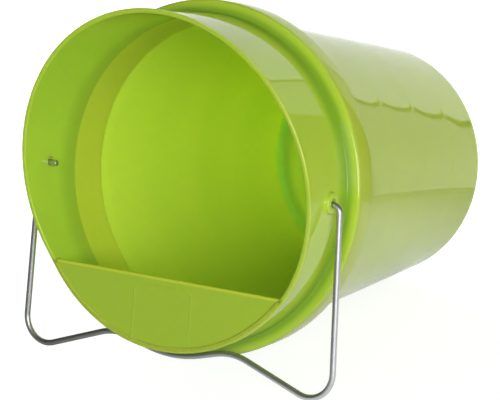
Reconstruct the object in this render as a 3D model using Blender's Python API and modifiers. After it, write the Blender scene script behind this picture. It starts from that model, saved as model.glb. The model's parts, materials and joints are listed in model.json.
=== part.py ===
"""Poultry drinker: a tapered plastic bucket laid on its side behind a dammed drinking ring.

The bucket is drawn standing on its base, +Z towards its mouth and +Y towards the ring's hood, and is
then laid down: it rests on the lower edge of its base and on the two feet of its own wire bail.
All sizes are in metres. In the finished model +X is to the right, +Y runs from mouth to base, +Z is up.
"""
import math

import bmesh
import bpy
from mathutils import Vector

# Clearance between pieces that touch
FIT_GAP = 0.0003

# Bucket: radii are of the outside, heights are from the plane that it stands on
BASE_RADIUS = 0.1071
BASE_CORNER = 0.0065
BASE_RECESS = 0.0030
BASE_THICKNESS = 0.0025
FOOT_RING_WIDTH = 0.0120
BUCKET_WALL = 0.0020
FLOOR_FILLET = 0.0070
NECK_FOOT_HEIGHT = 0.2557
NECK_FOOT_RADIUS = 0.1310
RIM_HEIGHT = 0.3015
RIM_LAND = 0.0095
RIM_SKIRT_DEPTH = 0.0190
RIM_SKIRT_WALL = 0.0018

# Flat gasket between the bucket's rim and the ring's flange
GASKET_THICKNESS = 0.0012
GASKET_EDGE_INSET = 0.0004

# Drinking ring: a collar with a flange, a spigot inside the bucket, a slanted lip and a dam
COLLAR_INNER_RADIUS = 0.1334
RING_WALL = 0.0020
COLLAR_LENGTH = 0.0644
FLANGE_OVERHANG = 0.0008
FLANGE_THICKNESS = 0.0040
FLANGE_FALL = 0.0008
FLANGE_ROUNDING = 0.0026
CREASE_FILLET = 0.0012
SPIGOT_SHOULDER = 0.0035
SPIGOT_DEPTH = 0.0354
LIP_SLANT = math.radians(11.25)
LIP_WIDTH = 0.0040
LIP_DEPTH = 0.0032
LIP_ROUNDING = 0.0013
DAM_CHORD_DROP = 0.0777
DAM_THICKNESS = 0.0022
DAM_EDGE_WIDTH = 0.0042
DAM_SETBACK = 0.0005

# Pivot bosses on the collar, one each side
PIVOT_SETBACK = 0.0339
BOSS_RADIUS = 0.0084
BOSS_HEIGHT = 0.0036
BOSS_ROUNDING = 0.0010
HOLE_RADIUS = 0.0039

# Wire bail: its distances from bosses and lip, then corner points of its centre line, across and
# below its pins, with their bend radii
WIRE_RADIUS = 0.0025
PIN_REACH = 0.0070
LEG_CLEARANCE = 0.0028
LEG_SPLAY = 0.0062
LEG_TOP_BEND = 0.0060
FOOT_DROP = 0.1629
FOOT_BEND = 0.0215
SHOULDER_ACROSS = 0.0570
SHOULDER_DROP = 0.1296
SHOULDER_BEND = 0.0480
SADDLE_CLEARANCE = 0.0053
SADDLE_BEND = 0.1000
BAIL_LEAN = math.radians(0.78)

# Fineness of the round shapes
BOSS_SIDES = 24
BORE_SIDES = 20
TURN_STEPS = 72
ARC_STEP = math.radians(30)
WIRE_ARC_STEP = math.radians(9)

# Radii and heights that follow from the sizes above
COLLAR_RADIUS = COLLAR_INNER_RADIUS + RING_WALL
NECK_MOUTH_INNER = COLLAR_RADIUS + FIT_GAP
RIM_RADIUS = NECK_MOUTH_INNER + RIM_LAND
FLANGE_RADIUS = RIM_RADIUS + FLANGE_OVERHANG
NECK_FOOT_INNER = NECK_FOOT_RADIUS - BUCKET_WALL
FLANGE_UNDERSIDE = RIM_HEIGHT + GASKET_THICKNESS + 2 * FIT_GAP
FLANGE_FACE = FLANGE_UNDERSIDE + FLANGE_THICKNESS
MOUTH_HEIGHT = FLANGE_UNDERSIDE + COLLAR_LENGTH
PIVOT_HEIGHT = MOUTH_HEIGHT - PIVOT_SETBACK
PIN_SAG = HOLE_RADIUS - WIRE_RADIUS - FIT_GAP
BOSS_FACE = COLLAR_RADIUS + BOSS_HEIGHT
LEG_TOP_ACROSS = BOSS_FACE + LEG_CLEARANCE + WIRE_RADIUS
FOOT_ACROSS = LEG_TOP_ACROSS + LEG_SPLAY
SADDLE_DROP = COLLAR_INNER_RADIUS + LIP_WIDTH + SADDLE_CLEARANCE + WIRE_RADIUS
DAM_FRONT = MOUTH_HEIGHT - DAM_CHORD_DROP * math.tan(LIP_SLANT) - DAM_SETBACK


def linear(hex_colour):
    """Linear RGBA of an sRGB colour written as six hexadecimal digits."""
    channels = [int(hex_colour[i:i + 2], 16) / 255 for i in (0, 2, 4)]
    return [c / 12.92 if c <= 0.04045 else ((c + 0.055) / 1.055) ** 2.4 for c in channels] + [1.0]


def finish(name, hex_colour, roughness, metallic=0.0):
    """Material with the piece's colour, roughness and metallic value."""
    material = bpy.data.materials.new(name)
    material.use_nodes = True
    shader = material.node_tree.nodes["Principled BSDF"]
    shader.inputs["Base Color"].default_value = linear(hex_colour)
    shader.inputs["Roughness"].default_value = roughness
    shader.inputs["Metallic"].default_value = metallic
    return material


def rounded_outline(corners, step, closed):
    """Points of an outline whose corners (a, b, radius) are replaced by arcs of their radius."""
    count = len(corners)
    points = []
    for i, (a, b, radius) in enumerate(corners):
        corner = Vector((a, b))
        at_end = not closed and i in (0, count - 1)
        if radius == 0 or at_end:
            points.append(corner)
            continue
        back = (Vector(corners[i - 1][:2]) - corner).normalized()
        onward = (Vector(corners[(i + 1) % count][:2]) - corner).normalized()
        half_angle = back.angle(onward) / 2
        centre = corner + (back + onward).normalized() * radius / math.sin(half_angle)
        first = corner + back * radius / math.tan(half_angle) - centre
        last = corner + onward * radius / math.tan(half_angle) - centre
        sweep = math.atan2(first.x * last.y - first.y * last.x, first.dot(last))
        segments = max(2, math.ceil(abs(sweep) / step))
        for k in range(segments + 1):
            turn = sweep * k / segments
            across = Vector((-first.y, first.x)) * math.sin(turn)
            points.append(centre + first * math.cos(turn) + across)
    return points


def turned_mesh(name, corners, closed):
    """Mesh of a profile (radius, height, rounding) turned once round Z with a Screw modifier."""
    points = rounded_outline(corners, ARC_STEP, closed)
    count = len(points)
    edges = [(i, i + 1) for i in range(count - 1)]
    if closed:
        edges.append((count - 1, 0))
    profile = bpy.data.meshes.new(name)
    profile.from_pydata([(p.x, 0, p.y) for p in points], edges, [])
    blank = bpy.data.objects.new(name + "_profile", profile)
    bpy.context.scene.collection.objects.link(blank)
    screw = blank.modifiers.new("turn", "SCREW")
    screw.angle = 2 * math.pi
    screw.steps = TURN_STEPS
    screw.render_steps = TURN_STEPS
    screw.use_merge_vertices = True
    screw.merge_threshold = 0.00001
    mesh = bpy.data.meshes.new_from_object(blank.evaluated_get(bpy.context.evaluated_depsgraph_get()))
    mesh.name = name
    bpy.data.objects.remove(blank)
    return mesh


def add_object(name, data, collection, parent, material=None):
    """Object in a collection, carried by the bucket's frame, with its material."""
    obj = bpy.data.objects.new(name, data)
    collection.objects.link(obj)
    obj.parent = parent
    if material:
        data.materials.clear()
        data.materials.append(material)
    return obj


def shade_round(mesh):
    """Smooth shading that keeps corners over 35 degrees sharp."""
    mesh.shade_smooth()
    mesh.set_sharp_from_angle(angle=math.radians(35))


def cylinder_cutter(name, radius, length, segments, collection, parent):
    """Capped cylinder along Z, centred on its own origin, kept as a tool and not as a piece."""
    mesh = bpy.data.meshes.new(name)
    shape = bmesh.new()
    bmesh.ops.create_cone(shape, cap_ends=True, segments=segments, radius1=radius, radius2=radius,
                          depth=length)
    shape.to_mesh(mesh)
    shape.free()
    return as_tool(add_object(name, mesh, collection, parent))


def box_cutter(name, low, high, collection, parent):
    """Box between two corners, kept as a tool and not as a piece."""
    mesh = bpy.data.meshes.new(name)
    shape = bmesh.new()
    bmesh.ops.create_cube(shape, size=1)
    size = Vector(high) - Vector(low)
    middle = (Vector(high) + Vector(low)) / 2
    bmesh.ops.scale(shape, vec=size, verts=shape.verts)
    bmesh.ops.translate(shape, vec=middle, verts=shape.verts)
    shape.to_mesh(mesh)
    shape.free()
    return as_tool(add_object(name, mesh, collection, parent))


def as_tool(obj):
    """Hides an object that only cuts or adds to another one."""
    obj.hide_render = True
    obj.display_type = "WIRE"
    return obj


def add_boolean(obj, tool, operation):
    """Boolean modifier of one tool on an object."""
    modifier = obj.modifiers.new(tool.name, "BOOLEAN")
    modifier.operation = operation
    modifier.solver = "EXACT"
    modifier.object = tool


def neck_inner_radius(height):
    """Inside radius of the bucket's flared neck at a height."""
    share = (height - NECK_FOOT_HEIGHT) / (RIM_HEIGHT - NECK_FOOT_HEIGHT)
    return NECK_FOOT_INNER + share * (NECK_MOUTH_INNER - NECK_FOOT_INNER)


def make_bucket(parts, frame, plastic):
    """One moulding: recessed base, tapered wall, flared neck and a rim with a turned-down skirt."""
    taper = (NECK_FOOT_RADIUS - BASE_RADIUS) / NECK_FOOT_HEIGHT
    floor_height = BASE_RECESS + BASE_THICKNESS
    floor_radius = BASE_RADIUS + taper * floor_height - BUCKET_WALL
    foot_inner = BASE_RADIUS - FOOT_RING_WIDTH
    skirt_foot = RIM_HEIGHT - RIM_SKIRT_DEPTH
    skirt_inner = RIM_RADIUS - RIM_SKIRT_WALL
    land_underside = RIM_HEIGHT - BUCKET_WALL
    corners = [
        (0, floor_height, 0),
        (floor_radius, floor_height, FLOOR_FILLET),
        (NECK_FOOT_INNER, NECK_FOOT_HEIGHT, 0),
        (NECK_MOUTH_INNER, RIM_HEIGHT, BUCKET_WALL * 0.3),
        (RIM_RADIUS, RIM_HEIGHT, RIM_SKIRT_WALL * 0.8),
        (RIM_RADIUS, skirt_foot, RIM_SKIRT_WALL * 0.3),
        (skirt_inner, skirt_foot, 0),
        (skirt_inner, land_underside, 0),
        (neck_inner_radius(land_underside) + BUCKET_WALL, land_underside, 0),
        (NECK_FOOT_RADIUS, NECK_FOOT_HEIGHT, 0),
        (BASE_RADIUS, 0, BASE_CORNER),
        (foot_inner, 0, 0),
        (foot_inner - BASE_RECESS / 3, BASE_RECESS, 0),
        (0, BASE_RECESS, 0),
    ]
    mesh = turned_mesh("bucket_body", corners, closed=False)
    shade_round(mesh)
    return add_object("bucket_body", mesh, parts, frame, plastic)


def make_gasket(parts, frame, rubber):
    """Flat rubber ring that keeps the water in between rim and flange."""
    inner = NECK_MOUTH_INNER + GASKET_EDGE_INSET
    outer = RIM_RADIUS - GASKET_EDGE_INSET
    low = RIM_HEIGHT + FIT_GAP
    high = low + GASKET_THICKNESS
    corners = [(outer, high, 0), (outer, low, 0), (inner, low, 0), (inner, high, 0)]
    mesh = turned_mesh("rim_gasket", corners, closed=True)
    shade_round(mesh)
    return add_object("rim_gasket", mesh, parts, frame, rubber)


def lip_shift(y):
    """How far the lip lies beyond the mouth height: it slants above the dam and is level below it."""
    return max(y, -DAM_CHORD_DROP) * math.tan(LIP_SLANT)


def make_collar_mesh():
    """Collar, flange, spigot and lip, turned, with the lip then slid along Z to its slanted line."""
    spigot_foot = FLANGE_UNDERSIDE - SPIGOT_DEPTH
    spigot_outer = neck_inner_radius(spigot_foot) - FIT_GAP
    lip_outer = COLLAR_INNER_RADIUS + LIP_WIDTH
    lip_foot = MOUTH_HEIGHT - LIP_DEPTH
    corners = [
        (lip_outer, MOUTH_HEIGHT, LIP_ROUNDING),
        (lip_outer, lip_foot, LIP_ROUNDING * 0.5),
        (COLLAR_RADIUS, lip_foot, 0),
        (COLLAR_RADIUS, FLANGE_FACE, CREASE_FILLET),
        (FLANGE_RADIUS, FLANGE_FACE - FLANGE_FALL, FLANGE_ROUNDING),
        (FLANGE_RADIUS, FLANGE_UNDERSIDE, 0),
        (COLLAR_RADIUS, FLANGE_UNDERSIDE, 0),
        (COLLAR_RADIUS, RIM_HEIGHT, 0),
        (spigot_outer, spigot_foot, RING_WALL * 0.4),
        (spigot_outer - RING_WALL, spigot_foot, RING_WALL * 0.4),
        (COLLAR_INNER_RADIUS, FLANGE_UNDERSIDE - SPIGOT_SHOULDER, 0),
        (COLLAR_INNER_RADIUS, MOUTH_HEIGHT, LIP_ROUNDING),
    ]
    mesh = turned_mesh("drinking_ring", corners, closed=True)
    for vertex in mesh.vertices:
        if vertex.co.z > lip_foot - FIT_GAP:
            vertex.co.z += lip_shift(vertex.co.y)
    return mesh


def make_dam(tools, frame):
    """Half-moon plate that stands in the ring, with a wider edge along its straight top."""
    reach = COLLAR_INNER_RADIUS + RING_WALL / 2
    dam = cylinder_cutter("dam", reach, DAM_EDGE_WIDTH, TURN_STEPS, tools, frame)
    dam.location.z = DAM_FRONT - DAM_EDGE_WIDTH / 2
    above = box_cutter("above_dam", (-2 * reach, -DAM_CHORD_DROP, -DAM_EDGE_WIDTH),
                       (2 * reach, 2 * reach, DAM_EDGE_WIDTH), tools, frame)
    above.location = dam.location
    behind = box_cutter("behind_dam", (-2 * reach, -2 * reach, -DAM_EDGE_WIDTH),
                        (2 * reach, -DAM_CHORD_DROP - DAM_THICKNESS,
                         DAM_EDGE_WIDTH / 2 - DAM_THICKNESS), tools, frame)
    behind.location = dam.location
    add_boolean(dam, above, "DIFFERENCE")
    add_boolean(dam, behind, "DIFFERENCE")
    return dam


def make_ring(parts, tools, frame, plastic):
    """One moulding: collar with flange and lip, its dam, and a bored pivot boss on each side."""
    ring = add_object("drinking_ring", make_collar_mesh(), parts, frame, plastic)
    add_boolean(ring, make_dam(tools, frame), "UNION")
    boss_foot = COLLAR_INNER_RADIUS + RING_WALL * 0.3
    for name, side in (("boss_left", -1), ("boss_right", 1)):
        boss = cylinder_cutter(name, BOSS_RADIUS, BOSS_FACE - boss_foot, BOSS_SIDES, tools, frame)
        boss.location = (side * (boss_foot + BOSS_FACE) / 2, 0, PIVOT_HEIGHT)
        boss.rotation_euler.y = side * math.pi / 2
        bevel = boss.modifiers.new("rounded_edge", "BEVEL")
        bevel.width = BOSS_ROUNDING
        bevel.segments = 2
        add_boolean(ring, boss, "UNION")
    bore = cylinder_cutter("pivot_bore", HOLE_RADIUS, 3 * COLLAR_RADIUS, BORE_SIDES, tools, frame)
    bore.location.z = PIVOT_HEIGHT
    bore.rotation_euler.y = math.pi / 2
    add_boolean(ring, bore, "DIFFERENCE")
    shade_round(ring.data)
    return ring


def bail_centre_line():
    """Centre line of the whole bail as (across, drop) points, from one pin's end to the other's."""
    half = [
        (COLLAR_INNER_RADIUS - PIN_REACH, 0, 0),
        (LEG_TOP_ACROSS, 0, LEG_TOP_BEND),
        (FOOT_ACROSS, FOOT_DROP, FOOT_BEND),
        (SHOULDER_ACROSS, SHOULDER_DROP, SHOULDER_BEND),
    ]
    mirrored = [(-across, drop, bend) for across, drop, bend in reversed(half)]
    corners = half + [(0, SADDLE_DROP, SADDLE_BEND)] + mirrored
    return rounded_outline(corners, WIRE_ARC_STEP, closed=False)


def make_bail(parts, frame, steel):
    """Bent wire with two feet and a saddle; its origin is its pins' axis, low in the bosses' holes."""
    line = bail_centre_line()
    curve = bpy.data.curves.new("wire_bail", "CURVE")
    curve.dimensions = "3D"
    curve.bevel_depth = WIRE_RADIUS
    curve.bevel_resolution = 3
    curve.use_fill_caps = True
    spline = curve.splines.new("POLY")
    spline.points.add(len(line) - 1)
    for point, place in zip(spline.points, line):
        point.co = (place.x, -place.y, 0, 1)
    bail = add_object("wire_bail", curve, parts, frame, steel)
    bail.location = (0, -PIN_SAG, PIVOT_HEIGHT)
    bail.rotation_euler.x = BAIL_LEAN
    return bail


def resting_tilt():
    """Angle of the bucket's axis to the ground, which touches the base's corner and the bail's feet."""
    drop = max(point.y for point in bail_centre_line())
    taper = math.atan2(NECK_FOOT_RADIUS - BASE_RADIUS, NECK_FOOT_HEIGHT)
    corner_centre = BASE_RADIUS - BASE_CORNER * (1 / math.cos(taper) - math.tan(taper))
    along = PIVOT_HEIGHT - drop * math.sin(BAIL_LEAN) - BASE_CORNER
    outward = PIN_SAG + drop * math.cos(BAIL_LEAN) - corner_centre
    reach = math.hypot(along, outward)
    return math.atan2(outward, along) + math.asin((WIRE_RADIUS - BASE_CORNER) / reach)


def lay_down(frame, pieces):
    """Turns the bucket's frame on its side, then sets the pieces on the ground over the origin."""
    frame.rotation_euler.x = math.pi / 2 - resting_tilt()
    bpy.context.view_layer.update()
    depsgraph = bpy.context.evaluated_depsgraph_get()
    corners = []
    for piece in pieces:
        evaluated = piece.evaluated_get(depsgraph)
        mesh = evaluated.to_mesh()
        corners += [evaluated.matrix_world @ vertex.co for vertex in mesh.vertices]
        evaluated.to_mesh_clear()
    lows = [min(corner[axis] for corner in corners) for axis in range(3)]
    highs = [max(corner[axis] for corner in corners) for axis in range(3)]
    frame.location = (-(lows[0] + highs[0]) / 2, -(lows[1] + highs[1]) / 2, -lows[2])


def main():
    for obj in list(bpy.data.objects):
        bpy.data.objects.remove(obj)
    parts = bpy.data.collections.new("poultry_drinker")
    tools = bpy.data.collections.new("cutters")
    bpy.context.scene.collection.children.link(parts)
    bpy.context.scene.collection.children.link(tools)

    frame = bpy.data.objects.new("bucket_frame", None)
    parts.objects.link(frame)
    plastic = finish("lime_polypropylene", "9CBE2B", 0.22)
    rubber = finish("dark_gasket_rubber", "2B2D2A", 0.70)
    steel = finish("galvanised_wire", "B4B7B8", 0.32, metallic=1.0)

    pieces = [
        make_bucket(parts, frame, plastic),
        make_gasket(parts, frame, rubber),
        make_ring(parts, tools, frame, plastic),
        make_bail(parts, frame, steel),
    ]
    lay_down(frame, pieces)


main()
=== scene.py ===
"""Looks of a poultry drinker: a lime plastic bucket lying on its side, its drinking ring and its wire bail.

Shapes are worked out in the drinker's own axes (X to the right, Y towards the ring's hood, Z from the
bucket's base to its mouth) and are then laid down where the model's own joints say.
"""
import json
import math

import bmesh
import bpy
import numpy as np
from mathutils import Matrix, Vector


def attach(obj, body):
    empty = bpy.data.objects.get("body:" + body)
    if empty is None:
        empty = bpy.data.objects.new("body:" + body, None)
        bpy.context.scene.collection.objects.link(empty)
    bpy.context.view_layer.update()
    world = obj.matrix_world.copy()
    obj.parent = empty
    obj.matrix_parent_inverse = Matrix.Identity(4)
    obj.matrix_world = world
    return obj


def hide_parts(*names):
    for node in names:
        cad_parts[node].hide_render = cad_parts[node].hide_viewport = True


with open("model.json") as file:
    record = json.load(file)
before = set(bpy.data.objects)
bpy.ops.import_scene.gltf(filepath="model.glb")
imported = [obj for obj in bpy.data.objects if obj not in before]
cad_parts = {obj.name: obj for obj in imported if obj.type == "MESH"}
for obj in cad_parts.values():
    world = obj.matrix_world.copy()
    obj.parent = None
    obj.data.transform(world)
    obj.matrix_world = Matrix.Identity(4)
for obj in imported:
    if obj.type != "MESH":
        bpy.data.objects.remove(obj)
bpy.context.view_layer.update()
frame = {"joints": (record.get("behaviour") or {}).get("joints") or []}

# Bucket
# A tapered tub, one injection moulding of lime polypropylene: recessed base on a foot ring, long wall
# that ripples a little between three faint rings, flared neck, and a rim with a turned-down skirt.
# It lies on its side, on the lower edge of its base.

BASE_RADIUS = 0.1071
BASE_CORNER = 0.0065
BASE_RECESS = 0.0030
BASE_THICKNESS = 0.0025
FOOT_RING_WIDTH = 0.0120
BUCKET_WALL = 0.0020
FLOOR_FILLET = 0.0070
NECK_FOOT_HEIGHT = 0.2557
NECK_FOOT_RADIUS = 0.1310
RIM_HEIGHT = 0.3015
RIM_RADIUS = 0.1452
RIM_SKIRT_DEPTH = 0.0190
RIM_SKIRT_WALL = 0.0018
PIVOT_HEIGHT = 0.3338
PIN_SAG = 0.0011
FIT_GAP = 0.0003
COLLAR_RADIUS = 0.1354
WALL_RING_HEIGHTS = (0.0694, 0.1384, 0.2044)
WALL_ROW_GAP = 0.0024
WALL_RIPPLE_SLOPE = 0.02
WALL_RING_HEIGHT = 0.00005
WALL_RING_WIDTH = 0.002
SKIRT_CROWN = 0.0004
GATE_RADIUS = 0.0022
GATE_HEIGHT = 0.0005
NECK_ROUNDING = 0.012
MOUTH_ROUNDING = BUCKET_WALL * 0.3
RIM_ROUNDING = RIM_SKIRT_WALL * 0.8
SKIRT_ROUNDING = RIM_SKIRT_WALL * 0.4
LAND_ROUNDING = RIM_SKIRT_WALL * 0.6
RECESS_ROUNDING = BASE_RECESS * 0.2
GATE_ROUNDING = BASE_RECESS * 0.1
BUCKET_STEPS = 240
ROW_GAP = 0.0040
CREST_SPAN = 0.0002
ARC_STEP = math.radians(15)
SHARP_ANGLE = math.radians(40)
MERGE_DISTANCE = 1e-6

joints = {joint["name"]: joint for joint in frame["joints"]}
mouth_way = np.array(joints["ring_pull_off"]["axis"], float)
mouth_way /= np.linalg.norm(mouth_way)
right_way = np.array([1.0, 0.0, 0.0])
hood_way = np.cross(mouth_way, right_way)
own_axes = np.array([right_way, hood_way, mouth_way])
base_centre = (np.array(joints["bail_swing"]["pos_m"]) + PIN_SAG * hood_way - PIVOT_HEIGHT * mouth_way)


def laid(points):
    """Points of the drinker's own axes in the frame: base centre + x right + y hood + z mouth."""
    return base_centre + np.asarray(points) @ own_axes


def rounded(corners, step=ARC_STEP):
    """Outline whose corners (a, b, radius) become arcs, each with a short straight piece before and after.

    The arc's centre lies on the corner's bisector at radius / sin(half angle); the arc turns from one
    straight line's direction to the other's in equal steps.
    """
    spots = np.array([corner[:2] for corner in corners], float)
    outline = []
    for i, (a, b, radius) in enumerate(corners):
        if radius == 0 or i in (0, len(corners) - 1):
            outline.append(spots[i][None])
            continue
        back = spots[i - 1] - spots[i]
        onward = spots[i + 1] - spots[i]
        back, onward = back / np.linalg.norm(back), onward / np.linalg.norm(onward)
        half = math.acos(np.clip(back @ onward, -1, 1)) / 2
        bisector = (back + onward) / np.linalg.norm(back + onward)
        centre = spots[i] + bisector * radius / math.sin(half)
        reach = radius / math.tan(half)
        first = spots[i] + back * reach - centre
        last = spots[i] + onward * reach - centre
        sweep = math.atan2(first[0] * last[1] - first[1] * last[0], first @ last)
        turns = np.linspace(0, sweep, max(3, math.ceil(abs(sweep) / step)) + 1)[:, None]
        across = np.array([-first[1], first[0]])
        arc = centre + first * np.cos(turns) + across * np.sin(turns)
        lead = min(CREST_SPAN, radius / 2)
        outline.append(np.vstack([arc[0] + back * lead, arc, arc[-1] + onward * lead]))
    return np.vstack(outline)


def spaced(outline, gap=ROW_GAP):
    """Outline with every straight stretch longer than the gap cut into equal parts."""
    lengths = np.linalg.norm(np.diff(outline, axis=0), axis=1)
    counts = np.maximum(1, np.ceil(lengths / gap).astype(int))
    spans = [a + (b - a) * np.linspace(0, 1, n, endpoint=False)[:, None]
             for a, b, n in zip(outline[:-1], outline[1:], counts)]
    return np.vstack(spans + [outline[-1:]])


def turned(profile, steps):
    """Grid of a profile (radius, height) turned about Z: (r cos t, r sin t, h) for t all the way round."""
    turn = np.linspace(0, 2 * math.pi, steps, endpoint=False)
    radius, height = profile[:, 0][:, None], profile[:, 1][:, None]
    return np.stack([radius * np.cos(turn), radius * np.sin(turn), height + 0 * turn], axis=-1)


def grid_faces(rows, columns, wrap_rows=False, wrap_columns=True, start=0):
    """Corner numbers of the four-sided faces of a grid, stored row by row from a first number."""
    row = np.arange(rows if wrap_rows else rows - 1)[:, None]
    column = np.arange(columns if wrap_columns else columns - 1)[None]
    below, beside = (row + 1) % rows, (column + 1) % columns
    quads = np.stack(np.broadcast_arrays(row * columns + column, row * columns + beside,
                                         below * columns + beside, below * columns + column), axis=-1)
    return quads.reshape(-1, 4) + start


def make_piece(name, points, faces, sharp=SHARP_ANGLE):
    """Closed mesh of own-axes points and faces: doubles are merged, faces turned outward, shading smooth."""
    mesh = bpy.data.meshes.new(name)
    mesh.from_pydata(laid(points.reshape(-1, 3)).tolist(), [], faces.tolist())
    shape = bmesh.new()
    shape.from_mesh(mesh)
    bmesh.ops.remove_doubles(shape, verts=shape.verts, dist=MERGE_DISTANCE)
    bmesh.ops.dissolve_degenerate(shape, edges=shape.edges, dist=MERGE_DISTANCE / 10)
    bmesh.ops.recalc_face_normals(shape, faces=shape.faces)
    shape.to_mesh(mesh)
    shape.free()
    mesh.shade_smooth()
    mesh.set_sharp_from_angle(angle=sharp)
    piece = bpy.data.objects.new(name, mesh)
    bpy.context.scene.collection.objects.link(piece)
    return piece


def linear(hex_colour):
    """Linear colour of an sRGB hex value, with its alpha."""
    channels = [int(hex_colour[i:i + 2], 16) / 255 for i in (0, 2, 4)]
    return [c / 12.92 if c <= 0.04045 else ((c + 0.055) / 1.055) ** 2.4 for c in channels] + [1.0]


def add_node(tree, kind, settings=None, links=None):
    """Node of a kind in a tree, with its settings (attributes, or inputs by name or number) and its links."""
    node = tree.nodes.new(kind)
    for key, value in (settings or {}).items():
        if isinstance(key, int) or key in node.inputs:
            node.inputs[key].default_value = value
        else:
            setattr(node, key, value)
    for key, socket in (links or {}).items():
        tree.links.new(socket, node.inputs[key])
    return node


neck_foot_inner = NECK_FOOT_RADIUS - BUCKET_WALL
neck_mouth_inner = COLLAR_RADIUS + FIT_GAP
taper = (NECK_FOOT_RADIUS - BASE_RADIUS) / NECK_FOOT_HEIGHT
neck_flare = (neck_mouth_inner - neck_foot_inner) / (RIM_HEIGHT - NECK_FOOT_HEIGHT)
floor_height = BASE_RECESS + BASE_THICKNESS
foot_inner = BASE_RADIUS - FOOT_RING_WIDTH
skirt_foot = RIM_HEIGHT - RIM_SKIRT_DEPTH
skirt_inner = RIM_RADIUS - RIM_SKIRT_WALL
land_underside = RIM_HEIGHT - BUCKET_WALL
neck_outer_top = neck_foot_inner + neck_flare * (land_underside - NECK_FOOT_HEIGHT) + BUCKET_WALL
ring_rows = [row + WALL_RING_WIDTH * step for row in WALL_RING_HEIGHTS[::-1]
             for step in (0.8, 0.4, 0, -0.4, -0.8)]
wall_tolerance = BUCKET_WALL / 4
bucket_outline = rounded([
    (0, floor_height, 0),
    (BASE_RADIUS + taper * floor_height - BUCKET_WALL, floor_height, FLOOR_FILLET),
    (neck_foot_inner, NECK_FOOT_HEIGHT, NECK_ROUNDING),
    (neck_mouth_inner, RIM_HEIGHT, MOUTH_ROUNDING),
    (RIM_RADIUS, RIM_HEIGHT, RIM_ROUNDING),
    (RIM_RADIUS, skirt_foot, SKIRT_ROUNDING),
    (skirt_inner, skirt_foot, SKIRT_ROUNDING),
    (skirt_inner, land_underside, SKIRT_ROUNDING),
    (neck_outer_top, land_underside, LAND_ROUNDING),
    (NECK_FOOT_RADIUS, NECK_FOOT_HEIGHT, NECK_ROUNDING),
    *[(BASE_RADIUS + taper * row, row, 0) for row in ring_rows],
    (BASE_RADIUS, 0, BASE_CORNER),
    (foot_inner, 0, RECESS_ROUNDING),
    (foot_inner - BASE_RECESS / 3, BASE_RECESS, RECESS_ROUNDING),
    (GATE_RADIUS * 1.2, BASE_RECESS, GATE_ROUNDING),
    (GATE_RADIUS, BASE_RECESS - GATE_HEIGHT, GATE_ROUNDING),
    (0, BASE_RECESS - GATE_HEIGHT, 0),
])
stretch_middle = (bucket_outline[1:] + bucket_outline[:-1]) / 2
wall_radius = BASE_RADIUS + taper * stretch_middle[:, 1]
is_wall_stretch = np.abs(stretch_middle[:, 0] - wall_radius) < wall_tolerance
bucket_profile = spaced(bucket_outline, np.where(is_wall_stretch, WALL_ROW_GAP, ROW_GAP))

# Between its faint rings the wall ripples: its slope wanders by a steady share of 4 s (1 - s) - 2/3 along
# each field (s from 0 to 1), so its radius by the field's length times 2 s^2 - 4/3 s^3 - 2/3 s
wall_stops = np.array([BASE_CORNER, *WALL_RING_HEIGHTS, NECK_FOOT_HEIGHT])
height = bucket_profile[:, 1]
field = np.clip(np.searchsorted(wall_stops, height) - 1, 0, len(wall_stops) - 2)
field_length = wall_stops[field + 1] - wall_stops[field]
share = np.clip((height - wall_stops[field]) / field_length, 0, 1)
ripple = WALL_RIPPLE_SLOPE * field_length * (2 * share ** 2 - 4 / 3 * share ** 3 - 2 / 3 * share)
from_ring = np.abs(height[:, None] - np.array(WALL_RING_HEIGHTS)).min(axis=1)
ridge = WALL_RING_HEIGHT * np.exp(-(from_ring / (WALL_RING_WIDTH / 2)) ** 2)
is_outer_wall = np.abs(bucket_profile[:, 0] - BASE_RADIUS - taper * height) < wall_tolerance
bucket_profile[:, 0] += (ripple + ridge) * is_outer_wall

# The skirt is crowned: it keeps the rim's radius in its middle and draws in by 1 - 4 s (1 - s) towards its
# foot and the rim
skirt_share = np.clip((height - skirt_foot) / RIM_SKIRT_DEPTH, 0, 1)
is_skirt = bucket_profile[:, 0] > RIM_RADIUS - RIM_SKIRT_WALL / 2
bucket_profile[:, 0] += SKIRT_CROWN * (4 * skirt_share * (1 - skirt_share) - 1) * is_skirt

bucket_points = turned(bucket_profile, BUCKET_STEPS)
bucket = make_piece("bucket_tub", bucket_points, grid_faces(len(bucket_profile), BUCKET_STEPS))
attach(bucket, "bucket")
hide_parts("bucket_body")

# Lime polypropylene, injection moulded against polished steel: a glossy skin over a saturated, slightly
# milky yellow-green. Slow waves from uneven shrinkage make its mirror images wander, and a faint cloudiness
# shows where the melt flowed. The tub lets more light through than the ring, and the core that formed its
# inside was less polished, so the inside is nearly matt.
PLASTIC_COLOUR = "D2EE54"
PLASTIC_CLOUD = "CBE94D"
PLASTIC_IOR = 1.49
PLASTIC_ROUGHNESS = 0.06
SHRINK_WAVE_SPACING = 0.022
SHRINK_WAVE_HEIGHT = 0.00004
CLOUD_SPACING = 0.07
TUB_LIGHT_REACH = 0.006
TUB_LIGHT_SHARES = (0.9, 1.0, 0.8)
CORE_ROUGHNESS = 0.6


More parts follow.
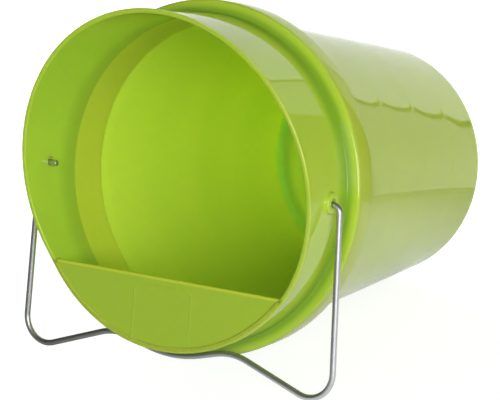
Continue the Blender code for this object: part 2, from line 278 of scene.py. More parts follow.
def lime_polypropylene(name, light_reach, light_shares):
    """Material of the green mouldings, whose light reaches so far inside, by a share for each colour."""
    material = bpy.data.materials.new(name)
    material.use_nodes = True
    tree = material.node_tree
    shader = tree.nodes["Principled BSDF"]
    place = add_node(tree, "ShaderNodeTexCoord")
    wave = add_node(tree, "ShaderNodeTexNoise",
                    {"Scale": 1 / SHRINK_WAVE_SPACING, "Detail": 1.0, "Roughness": 0.3},
                    {"Vector": place.outputs["Object"]})
    cloud = add_node(tree, "ShaderNodeTexNoise",
                     {"Scale": 1 / CLOUD_SPACING, "Detail": 3.0, "Roughness": 0.5},
                     {"Vector": place.outputs["Object"]})
    tint = add_node(tree, "ShaderNodeMix",
                    {"data_type": "RGBA", 6: linear(PLASTIC_COLOUR), 7: linear(PLASTIC_CLOUD)},
                    {"Factor": cloud.outputs["Fac"]})
    bump = add_node(tree, "ShaderNodeBump", {"Strength": 1.0, "Distance": SHRINK_WAVE_HEIGHT},
                    {"Height": wave.outputs["Fac"]})
    tree.links.new(tint.outputs[2], shader.inputs["Base Color"])
    tree.links.new(bump.outputs["Normal"], shader.inputs["Normal"])
    shader.inputs["Roughness"].default_value = PLASTIC_ROUGHNESS
    shader.inputs["IOR"].default_value = PLASTIC_IOR
    shader.inputs["Subsurface Weight"].default_value = 1.0
    shader.inputs["Subsurface Radius"].default_value = light_shares
    shader.inputs["Subsurface Scale"].default_value = light_reach
    return material


# Faces that look away from a spot on the axis, about half way up the tub, are polished; those that look
# towards it are nearly matt
tub_plastic = lime_polypropylene("moulded_lime_polypropylene_tub", TUB_LIGHT_REACH, TUB_LIGHT_SHARES)
tree = tub_plastic.node_tree
place = tree.nodes["Texture Coordinate"]
from_axis = add_node(tree, "ShaderNodeVectorMath",
                     {"operation": "SUBTRACT", 1: laid((0, 0, neck_foot_inner))},
                     {0: place.outputs["Object"]})
facing_out = add_node(tree, "ShaderNodeVectorMath", {"operation": "DOT_PRODUCT"},
                      {0: from_axis.outputs["Vector"], 1: place.outputs["Normal"]})
polish = add_node(tree, "ShaderNodeMapRange",
                  {"From Min": 0.0, "From Max": neck_foot_inner / 4,
                   "To Min": CORE_ROUGHNESS, "To Max": PLASTIC_ROUGHNESS},
                  {"Value": facing_out.outputs["Value"]})
tree.links.new(polish.outputs["Result"], tree.nodes["Principled BSDF"].inputs["Roughness"])
bucket.data.materials.append(tub_plastic)

# Gasket
# A flat ring stamped from black sheet rubber, squeezed between the bucket's rim and the ring's flange.
# Its outer edge is the thin dark line that runs round the seam.

GASKET_THICKNESS = 0.0012
GASKET_EDGE_INSET = 0.0004
GASKET_ROUNDING = GASKET_THICKNESS * 0.2

gasket_low = RIM_HEIGHT + FIT_GAP
gasket_high = gasket_low + GASKET_THICKNESS
gasket_inner = neck_mouth_inner + GASKET_EDGE_INSET
gasket_outer = RIM_RADIUS - GASKET_EDGE_INSET
gasket_middle = (gasket_inner + gasket_outer) / 2
gasket_profile = spaced(rounded([
    (gasket_middle, gasket_low, 0),
    (gasket_inner, gasket_low, GASKET_ROUNDING),
    (gasket_inner, gasket_high, GASKET_ROUNDING),
    (gasket_outer, gasket_high, GASKET_ROUNDING),
    (gasket_outer, gasket_low, GASKET_ROUNDING),
    (gasket_middle, gasket_low, 0),
]))
gasket = make_piece("rim_gasket_seal", turned(gasket_profile, BUCKET_STEPS),
                    grid_faces(len(gasket_profile), BUCKET_STEPS))
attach(gasket, "ring")
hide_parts("rim_gasket")

# Sheet rubber, calendered and dusted with talc: matt charcoal with a fine grain
RUBBER_COLOUR = "2B2D2A"
RUBBER_DUST = "4A4C48"
RUBBER_GRAIN = 0.0008
RUBBER_ROUGHNESS = 0.7

rubber = bpy.data.materials.new("stamped_black_rubber")
rubber.use_nodes = True
tree = rubber.node_tree
shader = tree.nodes["Principled BSDF"]
place = add_node(tree, "ShaderNodeTexCoord")
grain = add_node(tree, "ShaderNodeTexNoise", {"Scale": 1 / RUBBER_GRAIN, "Detail": 2.0},
                 {"Vector": place.outputs["Object"]})
dust = add_node(tree, "ShaderNodeMix",
                {"data_type": "RGBA", 6: linear(RUBBER_COLOUR), 7: linear(RUBBER_DUST)},
                {"Factor": grain.outputs["Fac"]})
tree.links.new(dust.outputs[2], shader.inputs["Base Color"])
shader.inputs["Roughness"].default_value = RUBBER_ROUGHNESS
gasket.data.materials.append(rubber)

# Drinking ring
# One moulding of the same plastic: collar with a flange, a spigot that plugs into the bucket's neck, a
# lip that slants forward to a hood at the top, a half-moon dam that keeps the water in, and a bored boss
# on each side for the bail's pins.

COLLAR_INNER_RADIUS = 0.1334
RING_WALL = 0.0020
COLLAR_LENGTH = 0.0644
FLANGE_RADIUS = 0.1460
FLANGE_THICKNESS = 0.0040
FLANGE_FALL = 0.0008
FLANGE_ROUNDING = 0.0026
CREASE_FILLET = 0.0012
FLANGE_BACK_ROUNDING = FLANGE_THICKNESS * 0.1
SPIGOT_SHOULDER = 0.0035
SPIGOT_DEPTH = 0.0354
SPIGOT_FOOT_ROUNDING = RING_WALL * 0.4
SHOULDER_ROUNDING = 0.0008
LIP_SLANT = math.radians(11.25)
LIP_WIDTH = 0.0040
LIP_DEPTH = 0.0032
LIP_ROUNDING = 0.0013
LIP_BACK_ROUNDING = LIP_ROUNDING * 0.5
LIP_CREASE_ROUNDING = LIP_ROUNDING * 0.3
LIP_KINK = 0.0030
DAM_CHORD_DROP = 0.0777
DAM_THICKNESS = 0.0022
DAM_EDGE_WIDTH = 0.0042
DAM_SETBACK = 0.0005
DAM_FILLET = 0.0014
DAM_EDGE_ROUNDING = 0.0007
DAM_BROW_ROUNDING = 0.0014
BOSS_RADIUS = 0.0084
BOSS_HEIGHT = 0.0036
BOSS_ROUNDING = 0.0010
BOSS_FILLET = 0.0012
HOLE_RADIUS = 0.0039
HOLE_ROUNDING = 0.0003
WINDOW_REACH = 0.0112
WINDOW_CELLS = 10
WINDOW_INNER_MARGIN = 0.0006
WINDOW_OUTER_MARGIN = 0.0002
RING_STEPS = 360
PANEL_HALF_WIDTH = 0.0275
PANEL_TOP_DROP = 0.0850
PANEL_CORNER = 0.0050
PANEL_LINE_WIDTH = 0.0009
PANEL_LINE_HEIGHT = 0.0004

flange_underside = RIM_HEIGHT + GASKET_THICKNESS + 2 * FIT_GAP
flange_face = flange_underside + FLANGE_THICKNESS
mouth_height = flange_underside + COLLAR_LENGTH
dam_front = mouth_height - DAM_CHORD_DROP * math.tan(LIP_SLANT) - DAM_SETBACK
shoulder_height = flange_underside - SPIGOT_SHOULDER
spigot_foot = flange_underside - SPIGOT_DEPTH
spigot_outer = neck_foot_inner + neck_flare * (spigot_foot - NECK_FOOT_HEIGHT) - FIT_GAP
lip_outer = COLLAR_INNER_RADIUS + LIP_WIDTH
lip_foot = mouth_height - LIP_DEPTH
window_low, window_high = PIVOT_HEIGHT - WINDOW_REACH, PIVOT_HEIGHT + WINDOW_REACH
lip_middle = (COLLAR_INNER_RADIUS + lip_outer) / 2

ring_profile = spaced(rounded([
    (lip_middle, mouth_height, 0),
    (lip_outer, mouth_height, LIP_ROUNDING),
    (lip_outer, lip_foot, LIP_BACK_ROUNDING),
    (COLLAR_RADIUS, lip_foot, LIP_CREASE_ROUNDING),
    (COLLAR_RADIUS, window_high, 0),
    (COLLAR_RADIUS, window_low, 0),
    (COLLAR_RADIUS, flange_face, CREASE_FILLET),
    (FLANGE_RADIUS, flange_face - FLANGE_FALL, FLANGE_ROUNDING),
    (FLANGE_RADIUS, flange_underside, FLANGE_BACK_ROUNDING),
    (COLLAR_RADIUS, flange_underside, FLANGE_BACK_ROUNDING),
    (COLLAR_RADIUS, RIM_HEIGHT, 0),
    (spigot_outer, spigot_foot, SPIGOT_FOOT_ROUNDING),
    (spigot_outer - RING_WALL, spigot_foot, SPIGOT_FOOT_ROUNDING),
    (COLLAR_INNER_RADIUS, shoulder_height, SHOULDER_ROUNDING),
    (COLLAR_INNER_RADIUS, window_low, 0),
    (COLLAR_INNER_RADIUS, window_high, 0),
    (COLLAR_INNER_RADIUS, mouth_height, LIP_ROUNDING),
    (lip_middle, mouth_height, 0),
]), gap=2 * WINDOW_REACH / WINDOW_CELLS)
ring_points = turned(ring_profile, RING_STEPS)


def lip_shift(y):
    """How far the lip lies beyond the mouth height: slope times y above the dam, level below.

    The two are joined softly: the part above the dam is half of (a + sqrt(a squared + kink squared)).
    """
    above = y + DAM_CHORD_DROP
    soft = 0.5 * (above + np.sqrt(above ** 2 + LIP_KINK ** 2))
    return (soft - DAM_CHORD_DROP) * math.tan(LIP_SLANT)


# The wall between the bosses' level and the lip is stretched until it meets the slanted lip
stretch = np.clip((ring_points[..., 2] - window_high) / (lip_foot - window_high), 0, 1)
ring_points[..., 2] += stretch * lip_shift(ring_points[..., 1])

# A square window is left in the wall's grid round each pivot, and a boss fills it
on_window = ((ring_profile[:, 1] > window_low - MERGE_DISTANCE)
             & (ring_profile[:, 1] < window_high + MERGE_DISTANCE))
ring_quads = grid_faces(len(ring_profile), RING_STEPS)
quad_row, quad_column = np.divmod(ring_quads[:, 0], RING_STEPS)
next_row = np.minimum(quad_row + 1, len(ring_profile) - 1)
half_cells = WINDOW_CELLS // 2
side_column = (quad_column + RING_STEPS // 4) % (RING_STEPS // 2) - RING_STEPS // 4
in_window = (on_window[quad_row] & on_window[next_row]
             & (side_column >= -half_cells) & (side_column < half_cells))
ring_faces = [ring_quads[~in_window]]
ring_parts = [ring_points.reshape(-1, 3)]

# Boss: a profile (distance from the pivot, height above the collar's outside) carried once round the
# pivot. Its first and last rows are the window's square edge in the inner and the outer wall.
cell_turn = 2 * math.pi / RING_STEPS
edge_turn = half_cells * cell_turn
side = np.linspace(-1, 1, WINDOW_CELLS, endpoint=False)
square = np.concatenate([np.stack([side, 0 * side - 1], 1), np.stack([0 * side + 1, side], 1),
                         np.stack([-side, 0 * side + 1], 1), np.stack([0 * side - 1, -side], 1)])
square_turn, square_rise = square[:, 0] * edge_turn, square[:, 1] * WINDOW_REACH
way = np.stack([square_turn * COLLAR_RADIUS, square_rise], 1)
way /= np.linalg.norm(way, axis=1)[:, None]
boss_profile = rounded([
    (WINDOW_REACH - WINDOW_INNER_MARGIN, -RING_WALL, 0),
    (HOLE_RADIUS, -RING_WALL, HOLE_ROUNDING),
    (HOLE_RADIUS, BOSS_HEIGHT, HOLE_ROUNDING),
    (BOSS_RADIUS, BOSS_HEIGHT, BOSS_ROUNDING),
    (BOSS_RADIUS, 0, BOSS_FILLET),
    (WINDOW_REACH - WINDOW_OUTER_MARGIN, 0, 0),
])
boss_reach, boss_rise = boss_profile[:, 0][:, None], boss_profile[:, 1][:, None]
flatness = np.clip((boss_rise + RING_WALL) / RING_WALL, 0, 1)
flatness *= np.clip((WINDOW_REACH - boss_reach) / (WINDOW_REACH - BOSS_RADIUS), 0, 1)
boss_turn = boss_reach * way[:, 0] / COLLAR_RADIUS
boss_radius = COLLAR_RADIUS + boss_rise
bent = np.stack([boss_radius * np.cos(boss_turn), boss_radius * np.sin(boss_turn)], -1)
flat = np.stack([boss_radius + 0 * boss_turn, boss_turn * COLLAR_RADIUS], -1)
across = bent + flatness[..., None] * (flat - bent)
boss_points = np.concatenate([across, (PIVOT_HEIGHT + boss_reach * way[:, 1])[..., None]], axis=-1)
edges = [np.stack([radius * np.cos(square_turn), radius * np.sin(square_turn), PIVOT_HEIGHT + square_rise],
                  axis=-1)
         for radius in (COLLAR_INNER_RADIUS, COLLAR_RADIUS)]
boss_points = np.concatenate([edges[0][None], boss_points, edges[1][None]])
boss_quads = grid_faces(len(boss_points), len(square))
for turn_sign in (1, -1):
    ring_faces.append(boss_quads + sum(len(part) for part in ring_parts))
    ring_parts.append((boss_points * np.array([turn_sign, turn_sign, 1])).reshape(-1, 3))

# Dam: a section carried across the ring, from wall to wall. Near the wall its rows follow the wall's round
# and flare into it; near the top they follow the straight edge, which is wider towards the back.
DAM_COLUMNS = 140
DAM_FRONT_ROWS = 84
DAM_BACK_ROWS = 24
PANEL_LINE_COLUMNS = 9

# How far each row beside the wall lies inside it, the first two within its thickness
wall_steps = np.array([-0.0012, -0.0002, 0.0, 0.00004, 0.00014, 0.00032, 0.0006, 0.0010, 0.0014, 0.0020])
dam_reach = COLLAR_INNER_RADIUS + abs(wall_steps[0])
column = np.linspace(-1, 1, DAM_COLUMNS + 1)
half_chord = math.sqrt(dam_reach ** 2 - DAM_CHORD_DROP ** 2)
dam_x = half_chord * (np.sin(column * math.pi / 2) + column) / 2
beside_line = PANEL_HALF_WIDTH + PANEL_LINE_WIDTH * np.linspace(-1, 1, PANEL_LINE_COLUMNS)
dam_x = np.unique(np.concatenate([dam_x, beside_line, -beside_line]))


def dam_rows(top_y, share_steps):
    """Heights y of the dam's rows at every column: arcs beside the wall, then even steps to the top line."""
    arcs = -np.sqrt(np.maximum((COLLAR_INNER_RADIUS - wall_steps)[:, None] ** 2 - dam_x ** 2, 0))
    arcs = np.minimum(arcs, top_y)
    shares = np.linspace(0, 1, share_steps)[1:, None]
    return np.vstack([arcs, arcs[-1] + shares * (top_y - arcs[-1])])


def wall_flare(y):
    """Rise of the fillet beside the wall: radius minus the circle's drop at the distance from the wall."""
    distance = np.clip(COLLAR_INNER_RADIUS - np.hypot(dam_x, y), 0, DAM_FILLET)
    return DAM_FILLET - np.sqrt(DAM_FILLET ** 2 - (DAM_FILLET - distance) ** 2)


def panel_line(x, y):
    """Height of the raised line round the dam's bare panel: a ridge along a rectangle with round corners."""
    inward = np.stack([np.abs(x) - (PANEL_HALF_WIDTH - PANEL_CORNER),
                       y + (PANEL_TOP_DROP + PANEL_CORNER)], -1)
    outside = np.hypot(*np.moveaxis(np.maximum(inward, 0), -1, 0))
    inside = np.minimum(inward.max(-1), 0)
    from_line = outside + inside - PANEL_CORNER
    return PANEL_LINE_HEIGHT * np.exp(-(from_line / (PANEL_LINE_WIDTH / 2)) ** 2)


edge_top = rounded([
    (-DAM_CHORD_DROP - DAM_THICKNESS, dam_front, 0),
    (-DAM_CHORD_DROP, dam_front, DAM_BROW_ROUNDING),
    (-DAM_CHORD_DROP, dam_front - DAM_EDGE_WIDTH, DAM_EDGE_ROUNDING),
    (-DAM_CHORD_DROP - DAM_THICKNESS, dam_front - DAM_EDGE_WIDTH, DAM_EDGE_ROUNDING),
    (-DAM_CHORD_DROP - DAM_THICKNESS, dam_front - DAM_THICKNESS, DAM_EDGE_ROUNDING),
    (-DAM_CHORD_DROP - 2 * DAM_THICKNESS, dam_front - DAM_THICKNESS, 0),
])
front_y = dam_rows(-DAM_CHORD_DROP - DAM_THICKNESS, DAM_FRONT_ROWS)
front_z = dam_front + wall_flare(front_y) + panel_line(dam_x + 0 * front_y, front_y)
back_y = dam_rows(-DAM_CHORD_DROP - 2 * DAM_THICKNESS, DAM_BACK_ROWS)[::-1]
back_z = dam_front - DAM_THICKNESS - wall_flare(back_y)
buried_y = -np.sqrt(np.maximum(dam_reach ** 2 - dam_x ** 2, 0))
edge_y = np.maximum(edge_top[:, 0][:, None], buried_y)
edge_z = edge_top[:, 1][:, None] + 0 * dam_x
dam_y = np.vstack([front_y, edge_y, back_y])
dam_z = np.vstack([front_z, edge_z, back_z])
dam_points = np.stack([dam_x + 0 * dam_y, dam_y, dam_z], -1)
ring_faces.append(grid_faces(len(dam_y), len(dam_x), wrap_rows=True, wrap_columns=False,
                             start=sum(len(part) for part in ring_parts)))
ring_parts.append(dam_points.reshape(-1, 3))

ring = make_piece("drinking_ring_moulding", np.vstack(ring_parts), np.vstack(ring_faces))
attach(ring, "ring")
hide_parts("drinking_ring")

# The ring hides more of the light than the tub. Where collar and flange meet, its colour is darkened: a
# painted shade for the crease, together with the deeper colour of the thick plastic there. In the spigot it
# is paled: a painted light for the bright band on the spigot's inner face.
RING_LIGHT_REACH = 0.0025
RING_LIGHT_SHARES = (1.0, 1.0, 0.7)
CREASE_SHADE_COLOUR = "A2CC3C"
CREASE_REACH_UP = 0.020
CREASE_REACH_OUT = 0.0075
CREASE_HEART = 0.2
INSIDE_SHARE = 0.35
# Painted light: the paler colour of the spigot's inner face
SPIGOT_LIGHT_COLOUR = "DCFC4C"

ring_plastic = lime_polypropylene("moulded_lime_polypropylene_ring", RING_LIGHT_REACH, RING_LIGHT_SHARES)
tree = ring_plastic.node_tree
shader = tree.nodes["Principled BSDF"]
wall_colour = shader.inputs["Base Color"].links[0].from_socket

# Own-axes height and distance from the axis, of which the colours below are made
from_base = add_node(tree, "ShaderNodeVectorMath", {"operation": "SUBTRACT", 1: base_centre},
                     {0: tree.nodes["Texture Coordinate"].outputs["Object"]})
height_up = add_node(tree, "ShaderNodeVectorMath", {"operation": "DOT_PRODUCT", 1: mouth_way},
                     {0: from_base.outputs["Vector"]})
on_axis = add_node(tree, "ShaderNodeVectorMath", {"operation": "SCALE", 0: mouth_way},
                   {"Scale": height_up.outputs["Value"]})
outward = add_node(tree, "ShaderNodeVectorMath", {"operation": "DISTANCE"},
                   {0: from_base.outputs["Vector"], 1: on_axis.outputs["Vector"]})

# How much painted crease shade: full at the crease's heart and gone at its reach, and less of it on the
# inside
out_share = add_node(tree, "ShaderNodeMapRange",
                     {"clamp": False, "From Min": COLLAR_RADIUS,
                      "From Max": COLLAR_RADIUS + CREASE_REACH_OUT},
                     {"Value": outward.outputs["Value"]})
up_share = add_node(tree, "ShaderNodeMapRange",
                    {"clamp": False, "From Min": flange_face, "From Max": flange_face + CREASE_REACH_UP},
                    {"Value": height_up.outputs["Value"]})
shares = add_node(tree, "ShaderNodeCombineXYZ", {},
                  {"X": out_share.outputs["Result"], "Y": up_share.outputs["Result"]})
from_crease = add_node(tree, "ShaderNodeVectorMath", {"operation": "LENGTH"}, {0: shares.outputs["Vector"]})
near_crease = add_node(tree, "ShaderNodeMapRange",
                       {"interpolation_type": "SMOOTHSTEP", "From Min": CREASE_HEART, "From Max": 1.0,
                        "To Min": 1.0, "To Max": 0.0},
                       {"Value": from_crease.outputs["Value"]})
outside = add_node(tree, "ShaderNodeMapRange",
                   {"From Min": COLLAR_INNER_RADIUS + RING_WALL / 2,
                    "From Max": COLLAR_RADIUS - RING_WALL / 8, "To Min": INSIDE_SHARE},
                   {"Value": outward.outputs["Value"]})
# Painted shade: this share darkens the wall's colour towards the crease shade colour
crease_shade = add_node(tree, "ShaderNodeMath", {"operation": "MULTIPLY"},
                {0: near_crease.outputs["Result"], 1: outside.outputs["Result"]})
crease_shaded = add_node(tree, "ShaderNodeMix", {"data_type": "RGBA", 7: linear(CREASE_SHADE_COLOUR)},
                    {"Factor": crease_shade.outputs["Value"], 6: wall_colour})
# Painted light: below the spigot's shoulder the colour is paled towards a brighter one, standing in for the
# light on the spigot's inner face
spigot_light_share = add_node(tree, "ShaderNodeMapRange",
                {"From Min": shoulder_height - RING_WALL / 4, "From Max": shoulder_height + RING_WALL / 4,
                 "To Min": 1.0, "To Max": 0.0},
                {"Value": height_up.outputs["Value"]})
spigot_lit = add_node(tree, "ShaderNodeMix", {"data_type": "RGBA", 7: linear(SPIGOT_LIGHT_COLOUR)},
                 {"Factor": spigot_light_share.outputs["Result"], 6: crease_shaded.outputs[2]})

# The dam's face is painted a little darker, a painted shade for the dark inside that lies behind it, and a
# band along its top edge is painted lighter, a painted highlight along the edge
DAM_SHADE_COLOUR = "C6E648"
DAM_EDGE_HIGHLIGHT_COLOUR = "E4FC54"
DAM_HIGHLIGHT_BAND = 0.0024

in_ring = add_node(tree, "ShaderNodeMapRange",
                   {"From Min": COLLAR_INNER_RADIUS - DAM_FILLET,
                    "From Max": COLLAR_INNER_RADIUS - DAM_FILLET / 3, "To Min": 1.0, "To Max": 0.0},
                   {"Value": outward.outputs["Value"]})
above_back = add_node(tree, "ShaderNodeMapRange",
                      {"From Min": dam_front - 2 * DAM_EDGE_WIDTH,
                       "From Max": dam_front - 1.5 * DAM_EDGE_WIDTH},
                      {"Value": height_up.outputs["Value"]})
on_dam = add_node(tree, "ShaderNodeMath", {"operation": "MULTIPLY"},
                  {0: in_ring.outputs["Result"], 1: above_back.outputs["Result"]})
towards_hood = add_node(tree, "ShaderNodeVectorMath", {"operation": "DOT_PRODUCT", 1: hood_way},
                        {0: from_base.outputs["Vector"]})
on_edge_highlight = add_node(tree, "ShaderNodeMapRange",
                   {"From Min": -DAM_CHORD_DROP - DAM_HIGHLIGHT_BAND,
                    "From Max": -DAM_CHORD_DROP - DAM_HIGHLIGHT_BAND * 0.75},
                   {"Value": towards_hood.outputs["Value"]})
# Painted shade on the dam's face and painted highlight along its top edge
dam_shade_and_highlight = add_node(tree, "ShaderNodeMix",
                    {"data_type": "RGBA", 6: linear(DAM_SHADE_COLOUR), 7: linear(DAM_EDGE_HIGHLIGHT_COLOUR)},
                    {"Factor": on_edge_highlight.outputs["Result"]})
finished = add_node(tree, "ShaderNodeMix", {"data_type": "RGBA"},
                    {"Factor": on_dam.outputs["Value"], 6: spigot_lit.outputs[2], 7: dam_shade_and_highlight.outputs[2]})
tree.links.new(finished.outputs[2], shader.inputs["Base Color"])
ring.data.materials.append(ring_plastic)

# Wire bail
# One length of 5 mm galvanised steel wire, bent cold: its ends turn in to be the pivot pins, its lower
# corners are the front feet, and the saddle between them is the grip when the drinker is carried.

WIRE_RADIUS = 0.0025
PIN_REACH = 0.0070
LEG_CLEARANCE = 0.0028
LEG_SPLAY = 0.0062
LEG_TOP_BEND = 0.0060
FOOT_DROP = 0.1629
FOOT_BEND = 0.0215
SHOULDER_ACROSS = 0.0570
SHOULDER_DROP = 0.1296
SHOULDER_BEND = 0.0480
SADDLE_DROP = 0.1452
SADDLE_BEND = 0.1000
BAIL_LEAN = math.radians(0.78)
WIRE_SIDES = 32
WIRE_BEND_STEP = math.radians(4)
WIRE_GAP = 0.003
WIRE_SHARP_ANGLE = math.radians(60)
PIN_END_ROUNDING = 0.0012
PIN_END_ROWS = 6

leg_top_across = COLLAR_RADIUS + BOSS_HEIGHT + LEG_CLEARANCE + WIRE_RADIUS
half_bail = [
    (COLLAR_INNER_RADIUS - PIN_REACH, 0, 0),
    (leg_top_across, 0, LEG_TOP_BEND),
    (leg_top_across + LEG_SPLAY, -FOOT_DROP, FOOT_BEND),
    (SHOULDER_ACROSS, -SHOULDER_DROP, SHOULDER_BEND),
]
other_half = [(-across_x, drop, bend) for across_x, drop, bend in reversed(half_bail)]
wire_corners = half_bail + [(0, -SADDLE_DROP, SADDLE_BEND)] + other_half
wire_line = spaced(rounded(wire_corners, WIRE_BEND_STEP), WIRE_GAP)

# The round wire is a ring of points carried along its centre line, square to it; the first and last rings
# shrink to close the sheared, slightly rounded pin ends
tangent = np.gradient(wire_line, axis=0)
tangent /= np.linalg.norm(tangent, axis=1)[:, None]
end_turns = np.linspace(0, math.pi / 2, PIN_END_ROWS)
end_radius = np.concatenate([[0], WIRE_RADIUS - PIN_END_ROUNDING * (1 - np.sin(end_turns))])
end_back = np.concatenate([[0], PIN_END_ROUNDING * (1 - np.cos(end_turns))])
first_end = wire_line[0] + tangent[0] * end_back[:, None]
last_end = (wire_line[-1] - tangent[-1] * end_back[:, None])[::-1]
path = np.vstack([first_end, wire_line[1:-1], last_end])
path_way = np.vstack([np.repeat(tangent[:1], len(end_back), 0), tangent[1:-1],
                      np.repeat(tangent[-1:], len(end_back), 0)])
path_radius = np.concatenate([end_radius, np.full(len(wire_line) - 2, WIRE_RADIUS), end_radius[::-1]])
around = np.linspace(0, 2 * math.pi, WIRE_SIDES, endpoint=False)
sideways = np.stack([-path_way[:, 1], path_way[:, 0]], 1)
in_plane = path[:, None] + (path_radius[:, None] * np.cos(around))[..., None] * sideways[:, None]
off_plane = path_radius[:, None] * np.sin(around)
lean_cos, lean_sin = math.cos(BAIL_LEAN), math.sin(BAIL_LEAN)
bail_points = np.stack([
    in_plane[..., 0],
    in_plane[..., 1] * lean_cos - off_plane * lean_sin - PIN_SAG,
    in_plane[..., 1] * lean_sin + off_plane * lean_cos + PIVOT_HEIGHT,
], -1)
bail = make_piece("bail_wire", bail_points, grid_faces(len(path), WIRE_SIDES), WIRE_SHARP_ANGLE)
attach(bail, "bail")
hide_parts("wire_bail")

# Galvanised steel wire, drawn through a die and zinc plated: satin grey metal with a soft patchy bloom
WIRE_COLOUR = "D2D3D5"
WIRE_BLOOM = "BABCBE"
BLOOM_SPACING = 0.006
WIRE_ROUGHNESS = 0.42

steel = bpy.data.materials.new("zinc_plated_drawn_wire")
steel.use_nodes = True
tree = steel.node_tree
shader = tree.nodes["Principled BSDF"]
place = add_node(tree, "ShaderNodeTexCoord")
bloom = add_node(tree, "ShaderNodeTexNoise", {"Scale": 1 / BLOOM_SPACING, "Detail": 3.0},
                 {"Vector": place.outputs["Object"]})
zinc = add_node(tree, "ShaderNodeMix",
                {"data_type": "RGBA", 6: linear(WIRE_COLOUR), 7: linear(WIRE_BLOOM)},
                {"Factor": bloom.outputs["Fac"]})
tree.links.new(zinc.outputs[2], shader.inputs["Base Color"])
shader.inputs["Metallic"].default_value = 1.0
shader.inputs["Roughness"].default_value = WIRE_ROUGHNESS
bail.data.materials.append(steel)

# Studio
# A white floor, two white panels of light that stand behind the drinker with a narrow dark gap between
# them, which the plastic mirrors as a seam, and soft boxes around it.

FLOOR_HALF = 9.0
FLOOR_DROP = 0.0005
FLOOR_WHITE = (0.38, 0.38, 0.38, 1)
PALE_GLOW = 0.86
PALE_FROM = 0.15
PALE_TO = 0.5
PAPER_CENTRE = (0.36, 0.0, 0)
PAPER_GLOW = 0.85
PAPER_FAR_GLOW = 0.06
PAPER_FROM = 0.22
PAPER_TO = 0.52
STUDIO_AIR = 0.05
PANEL_LEAN = math.radians(4.6)

floor_paint = bpy.data.materials.new("white_floor")
floor_paint.use_nodes = True
tree = floor_paint.node_tree
tree.nodes.clear()
rays = add_node(tree, "ShaderNodeLightPath")
spot = add_node(tree, "ShaderNodeTexCoord")
mirrored = add_node(tree, "ShaderNodeMath", {"operation": "MAXIMUM"},
                    {0: rays.outputs["Is Glossy Ray"], 1: rays.outputs["Is Transmission Ray"]})


def floor_glow(ray, centre, near, far, start, stop):
    """Glow that one kind of ray sees: near within start of the centre, far beyond stop, a soft step."""
    distance = add_node(tree, "ShaderNodeVectorMath", {"operation": "DISTANCE", 1: centre},
                        {0: spot.outputs["Object"]})
    fade = add_node(tree, "ShaderNodeMapRange",
                    {"interpolation_type": "SMOOTHSTEP", "From Min": start, "From Max": stop,
                     "To Min": near, "To Max": far},
                    {"Value": distance.outputs["Value"]})
    return add_node(tree, "ShaderNodeMath", {"operation": "MULTIPLY"}, {0: fade.outputs["Result"], 1: ray})


# The camera sees a floor that pales to white and keeps the shadow; mirror images see a white sheet
pale = floor_glow(rays.outputs["Is Camera Ray"], (0, 0, 0), PALE_GLOW, 1.0, PALE_FROM, PALE_TO)
paper = floor_glow(mirrored.outputs[0], PAPER_CENTRE, PAPER_GLOW, PAPER_FAR_GLOW, PAPER_FROM, PAPER_TO)
seen = add_node(tree, "ShaderNodeMath", {"operation": "MAXIMUM"}, {0: pale.outputs[0], 1: paper.outputs[0]})
matt = add_node(tree, "ShaderNodeBsdfDiffuse", {"Color": FLOOR_WHITE})
glow = add_node(tree, "ShaderNodeEmission", {}, {"Strength": seen.outputs[0]})
both = add_node(tree, "ShaderNodeAddShader", {}, {0: matt.outputs[0], 1: glow.outputs[0]})
add_node(tree, "ShaderNodeOutputMaterial", {}, {"Surface": both.outputs[0]})

floor_corners = np.array([(-1, -1, 0), (1, -1, 0), (1, 1, 0), (-1, 1, 0)]) * FLOOR_HALF - (0, 0, FLOOR_DROP)
floor_mesh = bpy.data.meshes.new("studio_floor")
floor_mesh.from_pydata(floor_corners.tolist(), [], [(0, 1, 2, 3)])
floor_mesh.materials.append(floor_paint)
studio_floor = bpy.data.objects.new("studio_floor", floor_mesh)
bpy.context.scene.collection.objects.link(studio_floor)


def add_lamp(name, place, target, width, height, level, lean=0.0, mirrors=True):
    """Soft box: a rectangle of light at a place, facing a target, of an even brightness (level 1 is white).

    A positive lean turns its top to the right, seen from in front. The camera doesn't see it, and the
    drinker mirrors it only where mirrors is true.
    """
    light = bpy.data.lights.new(name, "AREA")
    light.shape = "RECTANGLE"
    light.size, light.size_y = width, height
    light.energy = level * math.pi * width * height
    lamp = bpy.data.objects.new(name, light)
    lamp.location = place
    lamp.rotation_euler = (Vector(target) - Vector(place)).to_track_quat("-Z", "Y").to_euler()
    lamp.rotation_euler.rotate_axis("Z", lean)
    lamp.visible_glossy = mirrors
    lamp.visible_camera = False
    bpy.context.scene.collection.objects.link(lamp)


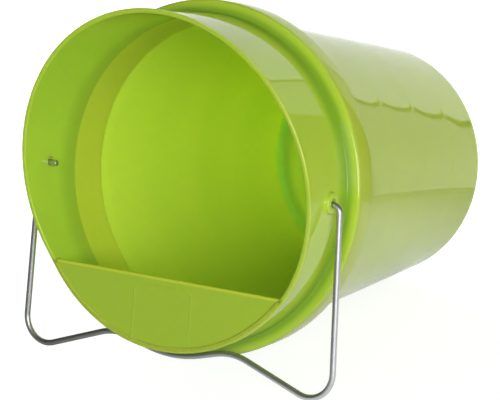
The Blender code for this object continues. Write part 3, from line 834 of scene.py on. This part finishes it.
add_lamp("back_panel_left", (-0.219, 0.44, 0.48), (-0.219, 0, 0.48), 0.768, 1.06, 0.98, PANEL_LEAN)
add_lamp("back_panel_right", (0.2575, 0.44, 0.48), (0.2575, 0, 0.48), 0.157, 1.06, 0.6, PANEL_LEAN)
add_lamp("base_box", (-0.9, 0.8, 0.15), (0, 0.18, 0.1), 0.6, 0.3, 6.0, mirrors=False)
add_lamp("key_box", (1.25, -2.3, 0.8), (0, 0, 0.12), 1.2, 1.0, 5.4)
add_lamp("side_box", (2.15, -1.5, 0.6), (0, 0, 0.12), 1.2, 1.0, 6.0)
add_lamp("left_box", (-1.6, 0.8, 0.45), (0, 0, 0.12), 1.4, 1.0, 5.6, mirrors=False)
add_lamp("right_strip", (1.9, 0.25, 0.3), (0, 0, 0.12), 1.4, 0.6, 0.7)
add_lamp("low_right_box", (1.3, 0.7, 0.12), (0, 0.05, 0.1), 1.0, 0.3, 1.6, mirrors=False)
add_lamp("front_left_box", (-1.1, -2.1, 0.9), (0, -0.1, 0.1), 0.8, 0.8, 1.6, mirrors=False)

# The air behind the floor's edge is white to the camera and nearly dark to the object
world = bpy.data.worlds.new("studio_air")
bpy.context.scene.world = world
world.use_nodes = True
tree = world.node_tree
rays = add_node(tree, "ShaderNodeLightPath")
air = add_node(tree, "ShaderNodeMapRange", {"To Min": STUDIO_AIR, "To Max": 1.0},
               {"Value": rays.outputs["Is Camera Ray"]})
tree.links.new(air.outputs["Result"], tree.nodes["Background"].inputs["Color"])

# Camera
# It stands 1.25 m in front of the mouth, to the right, and looks down a little, through a long lens.

LENS = 138.2
SENSOR_WIDTH = 36.0
EYE = (0.836637, 0.184277, 1.617425)
EYE_RIGHT = (0.8493, 0.0756, -0.5225)
EYE_UP = (-0.1305, 0.9891, -0.0689)

camera_data = bpy.data.cameras.new("camera")
camera_data.sensor_width = SENSOR_WIDTH
camera_data.lens = LENS
camera = bpy.data.objects.new("camera", camera_data)
bpy.context.scene.collection.objects.link(camera)
camera_right = np.array(EYE_RIGHT) @ own_axes
camera_up = np.array(EYE_UP) @ own_axes
camera_right /= np.linalg.norm(camera_right)
camera_up -= camera_right * (camera_up @ camera_right)
camera_up /= np.linalg.norm(camera_up)
camera_back = np.cross(camera_right, camera_up)
turned_camera = Matrix([list(row) for row in np.stack([camera_right, camera_up, camera_back], 1)]).to_4x4()
camera.matrix_world = Matrix.Translation(Vector(laid(np.array(EYE)))) @ turned_camera
bpy.context.scene.camera = camera

bpy.context.scene.view_settings.view_transform = "Standard"
